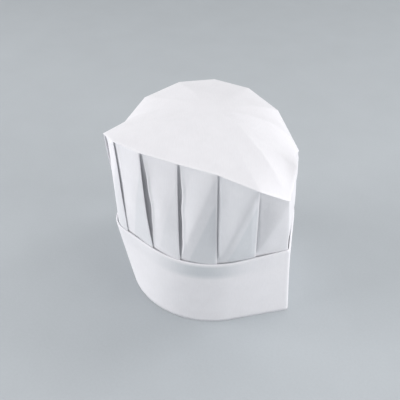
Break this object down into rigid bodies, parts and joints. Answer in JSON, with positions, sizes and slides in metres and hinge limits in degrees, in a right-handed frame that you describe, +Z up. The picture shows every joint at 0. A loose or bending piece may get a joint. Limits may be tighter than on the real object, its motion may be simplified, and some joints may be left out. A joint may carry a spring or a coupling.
{
  "type": "chef toque",
  "caption": "Low white disposable chef's toque: folded brow band, knife-pleated crown wall and a domed top sheet with a crisp cornered rim.",
  "frame": {"origin": "middle of the whole hat's box, on the plane that the brow band's lower edge stands on", "axes": "+Z up the hat; -Y is the front, where the crown leans out over the brow; +X is the side with the sharp storage crease"},
  "size_m": [0.1932, 0.1814, 0.212],
  "materials": {
    "band_sheet": "matte white non-woven sheet, folded double",
    "wall_sheet": "matte white non-woven sheet, knife-pleated and creased",
    "top_sheet": "matte white non-woven sheet, fine fibre grain",
    "sealed_seam": "heat-sealed non-woven, slightly glossier"
  },
  "bodies": {
    "root": {"brow_band": "band_sheet", "band_lining": "band_sheet", "band_end_lap": "band_sheet", "crown_foot": "wall_sheet", "crown_top": "top_sheet", "rim_seam": "sealed_seam", "pleat_panel_01": "wall_sheet", "pleat_panel_02": "wall_sheet", "pleat_panel_03": "wall_sheet", "pleat_panel_04": "wall_sheet", "pleat_panel_05": "wall_sheet", "pleat_panel_06": "wall_sheet", "pleat_panel_07": "wall_sheet", "pleat_panel_08": "wall_sheet", "pleat_panel_09": "wall_sheet", "pleat_panel_10": "wall_sheet", "pleat_panel_11": "wall_sheet", "pleat_panel_12": "wall_sheet", "pleat_panel_13": "wall_sheet", "pleat_panel_14": "wall_sheet", "pleat_panel_15": "wall_sheet", "pleat_panel_16": "wall_sheet"}
  },
  "joints": []
}
